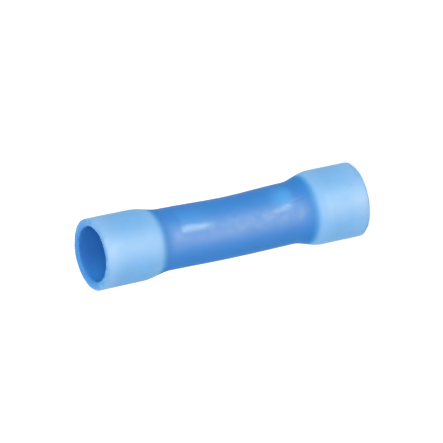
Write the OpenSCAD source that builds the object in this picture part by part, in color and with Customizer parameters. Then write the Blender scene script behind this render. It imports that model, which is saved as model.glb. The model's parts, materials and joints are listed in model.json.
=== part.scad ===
// Insulated butt splice connector, standing on one end.
// A tinned copper crimp barrel sits in a blue nylon sleeve whose two ends are flared
// into wide mouths, so that an insulated wire goes in at each end.
// Millimetres, +Z up, origin in the middle of the bottom rim.

/* [Crimp barrel] */
// Length of the copper barrel
barrel_length = 15; // [12:0.1:18]
// Outside diameter of the barrel
barrel_d = 4.0; // [3.6:0.05:4.4]
// Bore that takes the bared conductor
conductor_bore_d = 2.3; // [1.8:0.05:2.7]
// Chamfer that leads the strands into the bore
entry_chamfer = 0.3; // [0.1:0.05:0.4]
// Rounding of the barrel's outer end edges
barrel_edge_round = 0.2; // [0.1:0.05:0.3]
// Clear opening left in the middle of the rolled wire stop
stop_opening_d = 1.4; // [0.8:0.1:1.6]
// Length of the wire stop at its foot, on the bore's wall
stop_length = 1.5; // [1.2:0.1:2.4]
// Depth of the groove that the roll leaves on the barrel's outside
roll_groove_depth = 0.3; // [0.1:0.05:0.5]

/* [Sleeve neck] */
// Outside diameter of the sleeve where it grips the barrel
neck_d = 5.5; // [5.2:0.02:5.8]
// Gap between the barrel's outside and the sleeve that grips it
grip_clearance = 0; // [0:0.005:0.05]

/* [Upper flare] */
// Outside diameter of the upper flare
upper_flare_d = 6.42; // [6.2:0.02:7]
// Wall of the upper flare
upper_wall = 0.67; // [0.5:0.01:0.75]
// Height of the upper rim above the barrel's end
upper_depth = 6.25; // [4.5:0.05:8]
// Length of the slope from the upper flare down to the neck, at its sharp corners
upper_shoulder_length = 1.7; // [1.2:0.05:2.4]
// How far that slope runs down over the barrel, past the barrel's end
upper_shoulder_overlap = 0.4; // [0.2:0.05:1.1]

/* [Lower flare] */
// Outside diameter of the lower flare
lower_flare_d = 6.64; // [6.2:0.02:7]
// Wall of the lower flare
lower_wall = 0.67; // [0.5:0.01:0.75]
// Height of the barrel's end above the lower rim
lower_depth = 4.75; // [4:0.05:8]
// Length of the slope from the lower flare up to the neck, at its sharp corners
lower_shoulder_length = 1.56; // [1.2:0.02:2.4]
// How far that slope runs up over the barrel, past the barrel's end
lower_shoulder_overlap = 1.06; // [0.4:0.02:1.1]

/* [Mouths] */
// Rounding of each rim's outer edge
rim_outer_round = 0.2; // [0.1:0.02:0.28]
// Rounding of each rim's inner edge
rim_inner_round = 0.14; // [0.04:0.02:0.16]
// Angle between the axis and the funnel that leads from a mouth to the barrel
funnel_angle = 28; // [25:1:45]

/* [Hidden] */
$fn = 96;

// Share of a slope's length that the bend at the wide end takes, and the narrow end
upper_wide_bend = 0.57;
upper_narrow_bend = 0.35;
lower_wide_bend = 0.46;
lower_narrow_bend = 0.46;
// Share of a funnel's slope that is bent into the mouth's wall
funnel_bend = 0.5;
// Share of the wire stop's length that its crest takes, and of its flank that is rounded
stop_crest = 0.3;
stop_round = 0.4;
// How far a cut reaches past a corner, and along the sides of an inner one
tip_reach = 1.05;
side_reach = 1.25;
// How far an arc passes beyond a side that it would only touch, so that the two cross cleanly
arc_overlap = 0.0005;

barrel_r = barrel_d / 2;
bore_r = conductor_bore_d / 2;
stop_r = stop_opening_d / 2;
groove_r = barrel_r - roll_groove_depth;
grip_r = barrel_r + grip_clearance;
neck_r = neck_d / 2;

upper_flare_r = upper_flare_d / 2;
upper_mouth_r = upper_flare_r - upper_wall;
lower_flare_r = lower_flare_d / 2;
lower_mouth_r = lower_flare_r - lower_wall;

// Heights of the barrel's ends, its stop, the rims and the slopes
barrel_bottom = lower_depth;
barrel_top = barrel_bottom + barrel_length;
stop_z = (barrel_bottom + barrel_top) / 2;
rim_top = barrel_top + upper_depth;
upper_slope_foot = barrel_top - upper_shoulder_overlap;
upper_slope_head = upper_slope_foot + upper_shoulder_length;
lower_slope_foot = barrel_bottom + lower_shoulder_overlap;
lower_slope_head = lower_slope_foot - lower_shoulder_length;
upper_funnel_top = barrel_top + (upper_mouth_r - grip_r) / tan(funnel_angle);
lower_funnel_bottom = barrel_bottom - (lower_mouth_r - grip_r) / tan(funnel_angle);

// Corner i of an outline, and the corners before and after it
function corner_at(outline, i) = outline[(i + len(outline)) % len(outline)];

// Direction from one point towards another
function towards(a, b) = (b - a) / norm(b - a);

// Length of the side from one corner to the next
function side(outline, i) = norm(corner_at(outline, i + 1) - corner_at(outline, i));

// Which way the outline turns at corner i: above zero on an outer corner of a
// counter-clockwise outline, below zero on an inner one
function turn(outline, i) = let(
    into = towards(corner_at(outline, i - 1), outline[i]),
    away = towards(outline[i], corner_at(outline, i + 1))
) into.x * away.y - into.y * away.x;

// Where the arc at corner i leaves the side before it and joins the side after it
function arc_ends(outline, i, setback) = [
    outline[i] + towards(outline[i], corner_at(outline, i - 1)) * setback,
    outline[i] + towards(outline[i], corner_at(outline, i + 1)) * setback
];

// What is cut away to round corner i: the sharp tip of an outer corner, or the round
// hollow of an inner one
module corner_cut(outline, i, setback) {
    ends = arc_ends(outline, i, setback);
    back = towards(outline[i], ends[0]);
    ahead = towards(outline[i], ends[1]);
    half_angle = acos(back * ahead) / 2;
    centre = outline[i] + towards([0, 0], back + ahead) * setback / cos(half_angle);
    arc_r = setback * tan(half_angle) + arc_overlap;
    beyond = centre + (outline[i] - centre) * tip_reach;
    if (turn(outline, i) > 0)
        difference() {
            polygon([ends[0], beyond, ends[1]]);
            translate(centre) circle(r = arc_r);
        }
    else
        intersection() {
            along = arc_ends(outline, i, setback * side_reach);
            polygon([along[0], beyond, along[1], centre]);
            translate(centre) circle(r = arc_r);
        }
}

// Outline with rounded corners. An inner corner is first bridged from one end of its
// arc to the other. A setback of zero leaves a corner sharp.
module rounded_outline(outline, setbacks) {
    corners = [for (i = [0 : len(outline) - 1]) i];
    bridged = [for (i = corners) setbacks[i] > 0 && turn(outline, i) < 0];
    difference() {
        polygon([
            for (i = corners)
                each bridged[i] ? arc_ends(outline, i, setbacks[i]) : [outline[i]]
        ]);
        for (i = corners) if (setbacks[i] > 0) corner_cut(outline, i, setbacks[i]);
    }
}

// One-piece nylon sleeve, turned about the axis from the section of its wall
module insulating_sleeve() {
    section = [
        [lower_mouth_r, 0],
        [lower_flare_r, 0],
        [lower_flare_r, lower_slope_head],
        [neck_r, lower_slope_foot],
        [neck_r, upper_slope_foot],
        [upper_flare_r, upper_slope_head],
        [upper_flare_r, rim_top],
        [upper_mouth_r, rim_top],
        [upper_mouth_r, upper_funnel_top],
        [grip_r, barrel_top],
        [grip_r, barrel_bottom],
        [lower_mouth_r, lower_funnel_bottom]
    ];
    lower_slope = side(section, 2);
    upper_slope = side(section, 4);
    setbacks = [
        rim_inner_round,
        rim_outer_round,
        lower_slope * lower_wide_bend,
        lower_slope * lower_narrow_bend,
        upper_slope * upper_narrow_bend,
        upper_slope * upper_wide_bend,
        rim_outer_round,
        rim_inner_round,
        side(section, 8) * funnel_bend,
        0,
        0,
        side(section, 10) * funnel_bend
    ];
    color("#5f9fe0") rotate_extrude() rounded_outline(section, setbacks);
}

// Seamless tinned copper tube with a wire stop rolled into its middle
module crimp_barrel() {
    foot = stop_length / 2;
    crest = foot * stop_crest;
    section = [
        [bore_r + entry_chamfer, barrel_bottom],
        [barrel_r, barrel_bottom],
        [barrel_r, stop_z - foot],
        [groove_r, stop_z - crest],
        [groove_r, stop_z + crest],
        [barrel_r, stop_z + foot],
        [barrel_r, barrel_top],
        [bore_r + entry_chamfer, barrel_top],
        [bore_r, barrel_top - entry_chamfer],
        [bore_r, stop_z + foot],
        [stop_r, stop_z + crest],
        [stop_r, stop_z - crest],
        [bore_r, stop_z - foot],
        [bore_r, barrel_bottom + entry_chamfer]
    ];
    crest_round = crest * stop_round;
    setbacks = [
        0, barrel_edge_round, 0, crest_round, crest_round, 0, barrel_edge_round,
        0, 0, 0, crest_round, crest_round, 0, 0
    ];
    color("#c8ccd0") rotate_extrude() rounded_outline(section, setbacks);
}

insulating_sleeve();
crimp_barrel();
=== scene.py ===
# A blue insulated butt splice connector, standing on its wider rim.
# The pieces come in the order in which the connector is put together, and the studio comes last.

import json
import math

import bpy
from mathutils import Matrix, Vector


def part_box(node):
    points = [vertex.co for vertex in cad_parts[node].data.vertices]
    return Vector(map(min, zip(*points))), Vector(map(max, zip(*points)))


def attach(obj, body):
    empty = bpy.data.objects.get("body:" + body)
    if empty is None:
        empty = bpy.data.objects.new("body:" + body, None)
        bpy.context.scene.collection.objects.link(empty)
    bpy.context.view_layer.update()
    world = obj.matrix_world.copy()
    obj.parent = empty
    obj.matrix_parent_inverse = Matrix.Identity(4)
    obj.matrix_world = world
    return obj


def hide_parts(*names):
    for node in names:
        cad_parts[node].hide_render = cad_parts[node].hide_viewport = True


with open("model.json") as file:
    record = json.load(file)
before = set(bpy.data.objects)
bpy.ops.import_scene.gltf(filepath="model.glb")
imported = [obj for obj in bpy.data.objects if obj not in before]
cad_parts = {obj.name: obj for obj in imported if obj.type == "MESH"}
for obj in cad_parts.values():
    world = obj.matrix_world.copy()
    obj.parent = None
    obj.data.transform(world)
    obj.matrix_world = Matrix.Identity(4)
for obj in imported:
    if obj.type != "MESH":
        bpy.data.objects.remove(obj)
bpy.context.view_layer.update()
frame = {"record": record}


# Crimp barrel
# A seamless copper tube, cut to length, with its bore chamfered at both ends and a wire stop
# rolled into its middle. Tin plating gives it a soft grey shine with fine marks from drawing.
MM = 0.001
mounts = {mount["name"]: mount for mount in frame["record"]["mounts"]}
barrel_low, barrel_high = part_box("crimp_barrel")
barrel_r = barrel_high.x
barrel_bottom = barrel_low.z
barrel_top = barrel_high.z
conductor_bore_r = mounts["upper_conductor_bore"]["dims"]["r_mm"] * MM
entry_chamfer = 0.3 * MM
barrel_edge_round = 0.2 * MM
stop_z = (barrel_bottom + barrel_top) / 2
stop_reach = 0.75 * MM
stop_height = 0.45 * MM
roll_groove_depth = 0.3 * MM
barrel_crisp_angle = 30
turns_around = 224
merge_distance = 0.001 * MM


def arc(centre_r, centre_z, radius, start, end, steps=8):
    """Points (radius, height) of a round edge, between two angles in degrees from straight out."""
    angles = [math.radians(start + (end - start) * i / steps) for i in range(steps + 1)]
    return [(centre_r + radius * math.cos(a), centre_z + radius * math.sin(a)) for a in angles]


def rolled_in(wall_r, depth, reach, steps=16):
    """Points of a wall that a roll has pushed towards the axis, deepest at the wire stop."""
    shares = [-1 + 2 * i / steps for i in range(steps + 1)]
    return [(wall_r - depth * (1 + math.cos(math.pi * s)) / 2, stop_z + reach * s) for s in shares]


def turned(name, section):
    """A piece made by turning a closed section, given as (radius, height) points, about the axis."""
    bpy.ops.object.select_all(action="DESELECT")
    start_r, start_z = section[0]
    bpy.ops.mesh.primitive_plane_add(size=start_r, location=(start_r, 0, start_z))
    piece = bpy.context.object
    piece.name = name
    bpy.ops.object.transform_apply(location=True, rotation=True, scale=True)
    bpy.ops.object.mode_set(mode="EDIT")
    bpy.ops.mesh.select_all(action="SELECT")
    bpy.ops.mesh.merge(type="CENTER")
    for (r, z), (next_r, next_z) in zip(section, section[1:] + section[:1]):
        step = {"value": (next_r - r, 0, next_z - z)}
        bpy.ops.mesh.extrude_region_move(TRANSFORM_OT_translate=step)
    bpy.ops.mesh.select_all(action="SELECT")
    bpy.ops.mesh.spin(steps=turns_around, angle=math.tau, center=(0, 0, 0), axis=(0, 0, 1))
    bpy.ops.mesh.select_all(action="SELECT")
    bpy.ops.mesh.remove_doubles(threshold=merge_distance)
    bpy.ops.mesh.normals_make_consistent(inside=False)
    bpy.ops.object.mode_set(mode="OBJECT")
    return piece


barrel = turned(
    "barrel",
    arc(barrel_r - barrel_edge_round, barrel_bottom + barrel_edge_round, barrel_edge_round, -90, 0)
    + rolled_in(barrel_r, roll_groove_depth, stop_reach)
    + arc(barrel_r - barrel_edge_round, barrel_top - barrel_edge_round, barrel_edge_round, 0, 90)
    + [(conductor_bore_r + entry_chamfer, barrel_top)]
    + [(conductor_bore_r, barrel_top - entry_chamfer)]
    + rolled_in(conductor_bore_r, stop_height, -stop_reach)
    + [(conductor_bore_r, barrel_bottom + entry_chamfer)]
    + [(conductor_bore_r + entry_chamfer, barrel_bottom)],
)

# The roll that forms the stop also leaves the tube bowed by a hair, towards -X.
bow = 0.143 * MM
bow_z = 12.5 * MM
bow_reach = 4.37 * MM


def pressing(piece, name, share):
    """A Displace modifier that moves each point of a piece as far as a share of the point says."""
    group = piece.vertex_groups.new(name=name)
    for vertex in piece.data.vertices:
        group.add([vertex.index], share(vertex.co), "REPLACE")
    bpy.context.view_layer.objects.active = piece
    bpy.ops.object.modifier_add(type="DISPLACE")
    press = piece.modifiers[-1]
    press.vertex_group = group.name
    return press


def pushed(piece, name, axis, distance, share):
    """Moves the points of a piece along an axis, as far as a share of each point says."""
    press = pressing(piece, name, share)
    press.direction = axis
    press.mid_level = 0
    press.strength = distance
    bpy.ops.object.modifier_apply(modifier=press.name)


def bow_share(place):
    """1 in the middle of the bow, fading out along the axis."""
    return math.exp(-(((place.z - bow_z) / bow_reach) ** 2))


def smoothed(piece, angle):
    """Smooth shading, with edges sharper than the angle in degrees kept crisp."""
    bpy.ops.object.select_all(action="DESELECT")
    piece.select_set(True)
    bpy.context.view_layer.objects.active = piece
    bpy.ops.object.shade_smooth_by_angle(angle=math.radians(angle))


pushed(barrel, "bow", "X", -bow, bow_share)
smoothed(barrel, barrel_crisp_angle)

tin_dark = (0.62, 0.62, 0.62, 1)
tin_bright = (0.8, 0.8, 0.81, 1)
tin_roughness_low = 0.26
tin_roughness_high = 0.42
draw_line_scale = (9000, 9000, 300)
draw_line_detail = 4
tin = bpy.data.materials.new("tinned_copper")
tin.use_nodes = True
nodes, links = tin.node_tree.nodes, tin.node_tree.links
tin_shader = nodes["Principled BSDF"]
tin_shader.inputs["Metallic"].default_value = 1
tin_place = nodes.new("ShaderNodeTexCoord")
tin_draw_lines = nodes.new("ShaderNodeMapping")
tin_draw_lines.inputs["Scale"].default_value = draw_line_scale
tin_grain = nodes.new("ShaderNodeTexNoise")
tin_grain.inputs["Scale"].default_value = 1
tin_grain.inputs["Detail"].default_value = draw_line_detail
tin_tone = nodes.new("ShaderNodeMix")
tin_tone.data_type = "RGBA"
tin_tone.inputs["A"].default_value = tin_dark
tin_tone.inputs["B"].default_value = tin_bright
tin_gloss = nodes.new("ShaderNodeMapRange")
tin_gloss.inputs["To Min"].default_value = tin_roughness_low
tin_gloss.inputs["To Max"].default_value = tin_roughness_high
links.new(tin_place.outputs["Object"], tin_draw_lines.inputs["Vector"])
links.new(tin_draw_lines.outputs["Vector"], tin_grain.inputs["Vector"])
links.new(tin_grain.outputs["Fac"], tin_tone.inputs["Factor"])
links.new(tin_tone.outputs["Result"], tin_shader.inputs["Base Color"])
links.new(tin_grain.outputs["Fac"], tin_gloss.inputs["Value"])
links.new(tin_gloss.outputs["Result"], tin_shader.inputs["Roughness"])
barrel.data.materials.append(tin)

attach(barrel, "root")
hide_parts("crimp_barrel")


# Insulating sleeve
# One length of milky blue nylon tube, pushed over the barrel and then flared at both ends on a
# warm mandrel. It looks dark where the barrel lies under it, and pale where it is hollow.
sleeve_low, sleeve_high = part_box("insulating_sleeve")
rim_bottom = sleeve_low.z
rim_top = sleeve_high.z
neck_r = 2.753 * MM
neck_waist = 0.05 * MM
neck_waist_reach = 3.5 * MM
upper_rim_r = 3.207 * MM
upper_root_r = 3.18 * MM
lower_rim_r = 3.306 * MM
lower_root_r = sleeve_high.x
upper_mouth_r = mounts["upper_wire_mouth"]["dims"]["r_mm"] * MM
lower_mouth_r = mounts["lower_wire_mouth"]["dims"]["r_mm"] * MM
# Heights where each shoulder leaves the neck and where it reaches the flare
upper_neck_z = 18.85 * MM
upper_flare_z = 21.58 * MM
lower_neck_z = 6.55 * MM
lower_flare_z = 3.83 * MM
rim_outer_round = 0.2 * MM
upper_inner_round = 0.46 * MM
lower_inner_round = 0.3 * MM
funnel_length = 1.65 * MM
grip_gap = 0.01 * MM
wall_step = 0.2 * MM
sleeve_crisp_angle = 60


def eased(share):
    """0 to 1 with a gentle start and end."""
    share = min(max(share, 0), 1)
    return share * share * (3 - 2 * share)


def outer_radius(z):
    """Radius of the sleeve's outside at a height."""
    waist = neck_waist * math.exp(-(((z - bow_z) / neck_waist_reach) ** 2))
    upper_taper = (z - upper_flare_z) / (rim_top - upper_flare_z)
    lower_taper = (lower_flare_z - z) / (lower_flare_z - rim_bottom)
    upper_r = upper_root_r + (upper_rim_r - upper_root_r) * upper_taper
    lower_r = lower_root_r + (lower_rim_r - lower_root_r) * lower_taper
    upper_share = eased((z - upper_neck_z) / (upper_flare_z - upper_neck_z))
    lower_share = eased((lower_neck_z - z) / (lower_neck_z - lower_flare_z))
    neck = neck_r - waist
    return neck + (upper_r - neck) * upper_share + (lower_r - neck) * lower_share


def evenly(start, end):
    """Heights from one end to the other, about one wall step apart, both ends included."""
    steps = round(abs(end - start) / wall_step)
    return [start + (end - start) * i / steps for i in range(steps + 1)]


def funnel(mouth_r, grip_z, mouth_z, steps=10):
    """Points of the funnel that widens from the barrel's end into a mouth."""
    shares = [i / steps for i in range(steps + 1)]
    opening = mouth_r - grip_r
    return [
        (grip_r + opening * math.sin(math.pi / 2 * s), grip_z + (mouth_z - grip_z) * s) for s in shares
    ]


grip_r = barrel_r + grip_gap
upper_lip_z = rim_top - rim_outer_round
lower_lip_z = rim_bottom + rim_outer_round
upper_lip_r = outer_radius(upper_lip_z)
lower_lip_r = outer_radius(lower_lip_z)
upper_funnel = funnel(upper_mouth_r, barrel_top, barrel_top + funnel_length)
lower_funnel = funnel(lower_mouth_r, barrel_bottom, barrel_bottom - funnel_length)
upper_inside = evenly(rim_top - upper_inner_round, barrel_top + funnel_length)
lower_inside = evenly(barrel_bottom - funnel_length, rim_bottom + lower_inner_round)

sleeve = turned(
    "sleeve",
    arc(lower_lip_r - rim_outer_round, lower_lip_z, rim_outer_round, -90, 0)
    + [(outer_radius(z), z) for z in evenly(lower_lip_z, upper_lip_z)[1:-1]]
    + arc(upper_lip_r - rim_outer_round, upper_lip_z, rim_outer_round, 0, 90)
    + arc(upper_mouth_r + upper_inner_round, rim_top - upper_inner_round, upper_inner_round, 90, 180)
    + [(upper_mouth_r, z) for z in upper_inside[1:-1]]
    + upper_funnel[::-1]
    + [(grip_r, z) for z in evenly(barrel_top, barrel_bottom)[1:-1]]
    + lower_funnel
    + [(lower_mouth_r, z) for z in lower_inside[1:-1]]
    + arc(
        lower_mouth_r + lower_inner_round, rim_bottom + lower_inner_round, lower_inner_round, 180, 270
    ),
)

# The inside of a mouth, painted darker as painted shade in the hollow, its lip and the pale outside
# differ in colour, so each point of the sleeve knows how far it lies from the inside.
mouth_edge = 0.05 * MM
lip_start = 0.24 * MM
lip_width = 0.75 * MM
lip_length = 1.67 * MM


def skin_share(place):
    """0 inside a mouth, 0.5 on the inner half of a lip, and from there rising to 1 on the outside."""
    mouth_r, rim_z = (upper_mouth_r, rim_top) if place.z > stop_z else (lower_mouth_r, rim_bottom)
    beyond_mouth = place.xy.length - mouth_r
    if beyond_mouth < mouth_edge:
        return 0
    return 0.5 + 0.5 * eased((beyond_mouth - lip_start) / lip_width + abs(rim_z - place.z) / lip_length)


skin_shares = sleeve.data.attributes.new("skin_share", "FLOAT", "POINT")
for vertex in sleeve.data.vertices:
    skin_shares.data[vertex.index].value = skin_share(vertex.co)
pushed(sleeve, "bow", "X", -bow, bow_share)

# Flaring leaves the lips a little uneven, with a fine burr on the edge that the mandrel met.
lip_wave = 0.07 * MM
lip_wave_size = 0.7 * MM
lip_depth = 0.9 * MM
burr = 0.24 * MM
burr_size = 0.2 * MM
burr_depth = 0.5 * MM
burr_fade = 0.25 * MM


def roughened(name, size, height, share):
    """Moves the sleeve's points in and out by noise of a size, as far as a share of each point says."""
    bumps = bpy.data.textures.new(name, "CLOUDS")
    bumps.noise_scale = size
    press = pressing(sleeve, name, share)
    press.texture = bumps
    press.texture_coords = "LOCAL"
    press.strength = height
    bpy.ops.object.modifier_apply(modifier=press.name)


def near_rim(place):
    """1 on a rim, fading to 0 along the sleeve."""
    return eased(1 - min(place.z - rim_bottom, rim_top - place.z) / lip_depth)


def near_mouth(place):
    """1 on a rim's inner edge, fading to 0 across the wall and down the mouth."""
    return near_rim(place) * eased((upper_mouth_r + burr_depth - place.xy.length) / burr_fade)


roughened("lip_wave", lip_wave_size, lip_wave, near_rim)
roughened("lip_burr", burr_size, burr, near_mouth)

# The lips are not quite round: the opening is narrower along X, most towards -X, and wider along Y.
right_squeeze = 0.06 * MM
left_squeeze = 0.19 * MM
back_spread = 0.12 * MM
front_spread = 0.16 * MM


def lip_side(axis, side):
    """Gives the share by which a point of a lip lies towards one side of an axis."""
    return lambda place: near_mouth(place) * min(max(side * place[axis] / upper_mouth_r, 0), 1)


pushed(sleeve, "lip_right", "X", -right_squeeze, lip_side(0, 1))
pushed(sleeve, "lip_left", "X", left_squeeze, lip_side(0, -1))
pushed(sleeve, "lip_back", "Y", back_spread, lip_side(1, 1))
pushed(sleeve, "lip_front", "Y", -front_spread, lip_side(1, -1))
smoothed(sleeve, sleeve_crisp_angle)

nylon = bpy.data.materials.new("blue_nylon")
nylon.use_nodes = True
nodes, links = nylon.node_tree.nodes, nylon.node_tree.links
nylon_shader = nodes["Principled BSDF"]
nylon_ior = 1.53
nylon_specular = 0.182
rub_roughness = 0.14
upper_hollow_blue = (0.177, 0.46, 0.822, 1)
lower_hollow_blue = (0.2, 0.493, 0.846, 1)
# Painted highlight: the flares are paler next to the rims.
rim_highlight_blue = (0.262, 0.532, 0.858, 1)
# Painted glow: the flares are paler next to the barrel's ends, where light leaks out of the nylon.
glow_blue = (0.23, 0.515, 0.862, 1)
# Painted shade: the inside of the mouths is a darker blue than the outside of the same nylon.
shaded_inside_blue = (0.036, 0.21, 0.61, 1)
inside_lit_blue = (0.05, 0.32, 0.78, 1)
lip_blue = (0.096, 0.358, 0.8, 1)
fleck_blue = (0.21, 0.52, 0.87, 1)
edge_blue = (0.058, 0.34, 0.76, 1)
# Painted shade: the neck is a deeper blue next to the barrel's ends.
shaded_neck_blue = (0.013, 0.204, 0.629, 1)
backed_blue = (0.0189, 0.225, 0.664, 1)
# Painted reflection of the barrel through the nylon, on the neck's +X side.
reflection_blue = (0.0437, 0.33, 0.788, 1)
hollow_roughness = 0.602
backed_roughness = 0.615
dull_roughness = 0.8
hollow_diffusion = 0.35
mottle_scale = 420
mottle_shading = 0.08
grain_scale = 1600
grain_shading = 0.03
grain_dulling = 0.12
grain_height = 0.02 * MM
grain_strength = 0.35
upper_polish = 0.0395
lower_polish = 0.0262
# The barrel's ends show a little higher than they are, as the wall in front of them is thick.
seen_rise = 0.4 * MM
edge_blur = 0.48 * MM
edge_waver = 0.2 * MM
upper_dull_reach = 1.35 * MM
lower_dull_reach = 0.6 * MM
glow_reach = 1.9 * MM
upper_glow_share = 0.5
rim_highlight_reach = 2.3 * MM
# Pale flecks lie on the lips towards -Y.
fleck_scale = 2000
fleck_levels = (0.4, 0.68)
fleck_side = (0.6 * MM, -1.4 * MM)
# Painted light: the inside of the mouths is a little paler towards -X, where light falls in.
inside_lit_side = (0.3 * MM, -2.5 * MM)
# Painted reflection: paler cyan patches on the neck's +X side stand in for the barrel's shine
# through the nylon. Heights, then places along X, each as start, full, full and end
upper_reflection = (14.2 * MM, 16.6 * MM, 18.05 * MM, 18.4 * MM)
lower_reflection = (9.6 * MM, 7.8 * MM, 7.3 * MM, 6.45 * MM)
reflection_sides = (0.2 * MM, 1.4 * MM, 1.7 * MM, 2.7 * MM)
upper_reflection_share = 0.38
# Faintly rubbed patches, given in the same way. The lower patch leans, so its places along X are
# those at the foot of the sleeve.
upper_rub_heights = (14.2 * MM, 16.6 * MM, 18.25 * MM, 18.6 * MM)
upper_rub_sides = (-0.1 * MM, 0.25 * MM, 0.6 * MM, 1 * MM)
upper_rub_slant = 0
lower_rub_heights = (10.2 * MM, 8.5 * MM, 7.5 * MM, 6.6 * MM)
lower_rub_sides = (3.15 * MM, 3.5 * MM, 3.75 * MM, 4.1 * MM)
lower_rub_slant = 0.38
patch_waver = 0.9 * MM
patch_waver_scale = 260
# A fine crease runs from the neck on to the lower shoulder, and a speck lies near the lower rim.
crease_slant = 0.164
crease_place = 2.05 * MM
crease_width = 0.2 * MM
crease_heights = (5.6 * MM, 6.2 * MM, 7 * MM, 7.6 * MM)
crease_depth = 1.6
speck_place = (1.24 * MM, -3.07 * MM, 1.44 * MM)
speck_size = (0.2 * MM, 0.04 * MM)
speck_darkening = 0.09
nylon_shader.inputs["IOR"].default_value = nylon_ior
nylon_shader.inputs["Specular IOR Level"].default_value = nylon_specular
nylon_shader.inputs["Coat Roughness"].default_value = rub_roughness
nylon_place = nodes.new("ShaderNodeTexCoord")
nylon_axes = nodes.new("ShaderNodeSeparateXYZ")
links.new(nylon_place.outputs["Object"], nylon_axes.inputs["Vector"])


# The next functions add nodes to the material at hand.
def fade(value, start, end):
    """A value that goes smoothly from 0 to 1 as another goes from start to end."""
    node = nodes.new("ShaderNodeMapRange")
    node.interpolation_type = "SMOOTHSTEP"
    node.inputs["From Min"].default_value = start
    node.inputs["From Max"].default_value = end
    links.new(value, node.inputs["Value"])
    return node.outputs["Result"]


def plug(socket, value):
    """Sets a socket to a number or colour, or links another node's output to it."""
    if isinstance(value, bpy.types.NodeSocket):
        links.new(value, socket)
    else:
        socket.default_value = value


def between(share, low, high):
    """A value that goes evenly from low to high as the share goes from 0 to 1."""
    node = nodes.new("ShaderNodeMapRange")
    plug(node.inputs["To Min"], low)
    plug(node.inputs["To Max"], high)
    links.new(share, node.inputs["Value"])
    return node.outputs["Result"]


def combined(operation, first, second):
    """A Math node of two values, each a number or another node's output."""
    node = nodes.new("ShaderNodeMath")
    node.operation = operation
    plug(node.inputs[0], first)
    plug(node.inputs[1], second)
    return node.outputs["Value"]


def tinted(share, first, second):
    """A colour that goes from the first to the second as the share goes from 0 to 1."""
    node = nodes.new("ShaderNodeMix")
    node.data_type = "RGBA"
    links.new(share, node.inputs["Factor"])
    plug(node.inputs["A"], first)
    plug(node.inputs["B"], second)
    return node.outputs["Result"]


def stretch(value, start, full, full_end, end):
    """1 along a stretch, fading to 0 at both of its ends."""
    return combined("MULTIPLY", fade(value, start, full), fade(value, end, full_end))


def noise(scale, detail):
    """A soft random pattern in the nylon, around 0.5."""
    node = nodes.new("ShaderNodeTexNoise")
    node.inputs["Scale"].default_value = scale
    node.inputs["Detail"].default_value = detail
    links.new(nylon_place.outputs["Object"], node.inputs["Vector"])
    return node.outputs["Fac"]


mottle = noise(mottle_scale, detail=3)
grain = noise(grain_scale, detail=4)
height = combined("ADD", nylon_axes.outputs["Z"], between(mottle, -edge_waver, edge_waver))
patch_offset = between(noise(patch_waver_scale, detail=1), -patch_waver, patch_waver)
patch_height = combined("ADD", nylon_axes.outputs["Z"], patch_offset)
seen_bottom = barrel_bottom + seen_rise
seen_top = barrel_top + seen_rise
backed = stretch(
    height,
    seen_bottom - edge_blur,
    seen_bottom + edge_blur,
    seen_top - edge_blur,
    seen_top + edge_blur,
)
near_barrel = stretch(
    height,
    seen_bottom - glow_reach,
    seen_bottom - edge_blur,
    seen_top + edge_blur,
    seen_top + glow_reach,
)
mid_neck = stretch(
    height, seen_bottom, seen_bottom + lower_dull_reach, seen_top - upper_dull_reach, seen_top
)
mid_sleeve = stretch(height, rim_bottom, rim_bottom + rim_highlight_reach, rim_top - rim_highlight_reach, rim_top)
nylon_skin = nodes.new("ShaderNodeAttribute")
nylon_skin.attribute_name = "skin_share"
skin_level = nylon_skin.outputs["Fac"]
sideways = nylon_axes.outputs["X"]
# Painted reflection patches on the neck's +X side.
upper_end = stretch(patch_height, *upper_reflection)
lower_end = stretch(patch_height, *lower_reflection)
reflection_ends = combined("ADD", between(upper_end, 0, upper_reflection_share), lower_end)
painted_reflection = combined("MULTIPLY", reflection_ends, stretch(sideways, *reflection_sides))


def leaning(slant):
    """The place along X where a line that leans by a slant through a point meets the sleeve's foot."""
    return combined("ADD", sideways, combined("MULTIPLY", nylon_axes.outputs["Z"], slant))


def rubbed(heights, sides, slant, polish):
    """The polish of a rubbed patch, 0 around it."""
    patch = combined("MULTIPLY", stretch(patch_height, *heights), stretch(leaning(slant), *sides))
    return between(patch, 0, polish)


upper_rub = rubbed(upper_rub_heights, upper_rub_sides, upper_rub_slant, upper_polish)
lower_rub = rubbed(lower_rub_heights, lower_rub_sides, lower_rub_slant, lower_polish)
polished = combined("ADD", upper_rub, lower_rub)


def first_half(share):
    """0 to 1 over the first half of a share, for a colour that holds at its ends."""
    return between(share, 0, 2)


def second_half(share):
    """0 to 1 over the second half of a share, for a colour that holds at its ends."""
    return between(share, -1, 1)


upwards = fade(height, barrel_bottom, barrel_top)
# Painted glow next to the barrel's ends, weaker at the upper one.
glow = combined("MULTIPLY", near_barrel, between(upwards, 1, upper_glow_share))
hollow_blue = tinted(upwards, lower_hollow_blue, upper_hollow_blue)
# Flare colour: painted highlight near the rims, painted glow next to the barrel's ends.
flare_tone = tinted(glow, tinted(mid_sleeve, rim_highlight_blue, hollow_blue), glow_blue)
# Inside the mouths: painted shade, paler towards -X as painted light.
mouth_tone = tinted(fade(sideways, *inside_lit_side), shaded_inside_blue, inside_lit_blue)
fleck_side_share = fade(nylon_axes.outputs["Y"], *fleck_side)
flecks = combined("MULTIPLY", fleck_side_share, fade(noise(fleck_scale, detail=2), *fleck_levels))
fleck_tone = tinted(flecks, lip_blue, fleck_blue)
lip_tone = tinted(first_half(skin_level), mouth_tone, fleck_tone)
hollow_tone = tinted(second_half(skin_level), lip_tone, flare_tone)
edge_tone = tinted(first_half(backed), hollow_tone, edge_blue)
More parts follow.
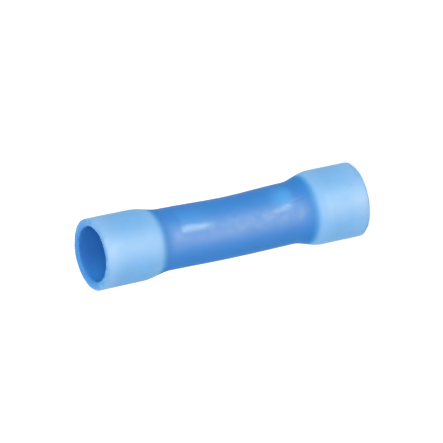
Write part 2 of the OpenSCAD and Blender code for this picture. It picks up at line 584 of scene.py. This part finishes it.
# Neck colour: painted shade near the barrel's ends, painted reflection in patches on the +X side.
backed_tone = tinted(painted_reflection, tinted(mid_neck, shaded_neck_blue, backed_blue), reflection_blue)
nylon_tone = tinted(second_half(backed), edge_tone, backed_tone)
from_speck = nodes.new("ShaderNodeVectorMath")
from_speck.operation = "DISTANCE"
links.new(nylon_place.outputs["Object"], from_speck.inputs[0])
from_speck.inputs[1].default_value = speck_place
speck = fade(from_speck.outputs["Value"], *speck_size)
mottle_level = between(mottle, 1 - mottle_shading, 1 + mottle_shading)
cloudiness = combined("ADD", mottle_level, between(grain, -grain_shading, grain_shading))
nylon_shade = nodes.new("ShaderNodeHueSaturation")
links.new(nylon_tone, nylon_shade.inputs["Color"])
nylon_level = combined("SUBTRACT", cloudiness, between(speck, 0, speck_darkening))
links.new(nylon_level, nylon_shade.inputs["Value"])
links.new(nylon_shade.outputs["Color"], nylon_shader.inputs["Base Color"])

from_crease = combined("ABSOLUTE", combined("SUBTRACT", leaning(crease_slant), crease_place), 0)
crease_stretch = stretch(nylon_axes.outputs["Z"], *crease_heights)
front_crease = combined("MULTIPLY", crease_stretch, fade(nylon_axes.outputs["Y"], 0, -neck_r / 2))
crease = combined("MULTIPLY", fade(from_crease, crease_width, 0), front_crease)
nylon_bump = nodes.new("ShaderNodeBump")
nylon_bump.inputs["Strength"].default_value = grain_strength
nylon_bump.inputs["Distance"].default_value = grain_height
links.new(combined("SUBTRACT", grain, between(crease, 0, crease_depth)), nylon_bump.inputs["Height"])
links.new(nylon_bump.outputs["Normal"], nylon_shader.inputs["Normal"])
neck_roughness = between(mid_neck, dull_roughness, backed_roughness)
nylon_roughness = between(backed, hollow_roughness, neck_roughness)
grain_roughness = between(grain, -grain_dulling, grain_dulling)
links.new(combined("ADD", nylon_roughness, grain_roughness), nylon_shader.inputs["Roughness"])
links.new(between(backed, hollow_diffusion, 0), nylon_shader.inputs["Diffuse Roughness"])
links.new(polished, nylon_shader.inputs["Coat Weight"])
sleeve.data.materials.append(nylon)

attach(sleeve, "root")
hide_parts("insulating_sleeve")


# Studio
# White paper on a light table, with soft lamps by the camera, at a window and behind, and two lamps
# under the table that show only as gloss. The camera lies on its side, so that the standing
# connector lies across the picture.
camera_elevation = math.radians(25.5)
camera_roll = math.radians(-102.05)
camera_distance = 1
picture_width = 38.79 * MM
picture_pixels = 443
pixel = picture_width / picture_pixels
aim_right = 0.8 * pixel
aim_up = -5.4 * pixel
camera_sight = 10
camera_data = bpy.data.cameras.new("camera")
camera_data.lens = camera_data.sensor_width * camera_distance / picture_width
camera_data.clip_end = camera_sight
camera = bpy.data.objects.new("camera", camera_data)
bpy.context.scene.collection.objects.link(camera)
bpy.context.scene.camera = camera
object_middle = Vector((0, 0, (rim_bottom + rim_top) / 2))
tilt = Matrix.Rotation(math.pi / 2 - camera_elevation, 4, "X") @ Matrix.Rotation(camera_roll, 4, "Z")
offset = tilt @ Vector((-aim_right, -aim_up, camera_distance))
camera.matrix_world = Matrix.Translation(object_middle + offset) @ tilt

floor_width = 4
paper_white = (0.8, 0.8, 0.8, 1)
paper_glow_strength = 0.45
bpy.ops.object.select_all(action="DESELECT")
bpy.ops.mesh.primitive_plane_add(size=floor_width, location=(0, 0, rim_bottom))
floor = bpy.context.object
floor.name = "floor"
paper = bpy.data.materials.new("white_paper")
paper.use_nodes = True
nodes, links = paper.node_tree.nodes, paper.node_tree.links
nodes.remove(nodes["Principled BSDF"])
paper_matt = nodes.new("ShaderNodeBsdfDiffuse")
paper_matt.inputs["Color"].default_value = paper_white
paper_glow = nodes.new("ShaderNodeEmission")
paper_ray = nodes.new("ShaderNodeLightPath")
paper_sum = nodes.new("ShaderNodeAddShader")


def seen(ray):
    """1 where the camera, a mirror or clear glass looks, 0 for light on its way."""
    mirrored = combined("MAXIMUM", ray.outputs["Is Camera Ray"], ray.outputs["Is Glossy Ray"])
    return combined("MAXIMUM", mirrored, ray.outputs["Is Transmission Ray"])


links.new(between(seen(paper_ray), 0, paper_glow_strength), paper_glow.inputs["Strength"])
links.new(paper_matt.outputs["BSDF"], paper_sum.inputs[0])
links.new(paper_glow.outputs["Emission"], paper_sum.inputs[1])
links.new(paper_sum.outputs["Shader"], nodes["Material Output"].inputs["Surface"])
floor.data.materials.append(paper)
floor.visible_shadow = False

room_strength = 0.47
room = bpy.data.worlds.new("room")
bpy.context.scene.world = room
room.use_nodes = True
room.node_tree.nodes["Background"].inputs["Color"].default_value = (1, 1, 1, 1)
room.node_tree.nodes["Background"].inputs["Strength"].default_value = room_strength


def soft_lamp(name, azimuth, elevation, distance, diameter, power):
    """A round soft lamp that faces the connector's middle, placed by angles in degrees."""
    data = bpy.data.lights.new(name, "AREA")
    data.shape = "DISK"
    data.size = diameter
    data.energy = power
    lamp = bpy.data.objects.new(name, data)
    bpy.context.scene.collection.objects.link(lamp)
    turn = Matrix.Rotation(math.radians(azimuth), 4, "Z")
    rise = Matrix.Rotation(math.radians(90 - elevation), 4, "X")
    reach = Matrix.Translation((0, 0, distance))
    lamp.matrix_world = Matrix.Translation(object_middle) @ turn @ rise @ reach
    return lamp


gloss_elevation = -26
gloss_distance = 0.6


def gloss_lamp(name, azimuth, width, height, power, colour):
    """An oval lamp under the table that lights nothing but shows as gloss on the connector's front."""
    lamp = soft_lamp(name, azimuth, gloss_elevation, gloss_distance, width, power)
    lamp.data.shape = "ELLIPSE"
    lamp.data.size_y = height
    lamp.data.color = colour
    lamp.visible_diffuse = False


soft_lamp("camera_lamp", azimuth=0, elevation=35, distance=1.3, diameter=0.9, power=9.1)
soft_lamp("window_lamp", azimuth=80, elevation=35, distance=1, diameter=0.8, power=0.86)
soft_lamp("back_lamp", azimuth=205, elevation=30, distance=1.3, diameter=0.4, power=6)
gloss_lamp("sheen_lamp", azimuth=-5.8, width=0.74, height=0.28, power=29, colour=(1, 0.82, 0.41))
gloss_lamp("streak_lamp", azimuth=26, width=0.3, height=0.031, power=4.6, colour=(0.72, 1, 0.7))

bpy.context.scene.view_settings.view_transform = "Standard"
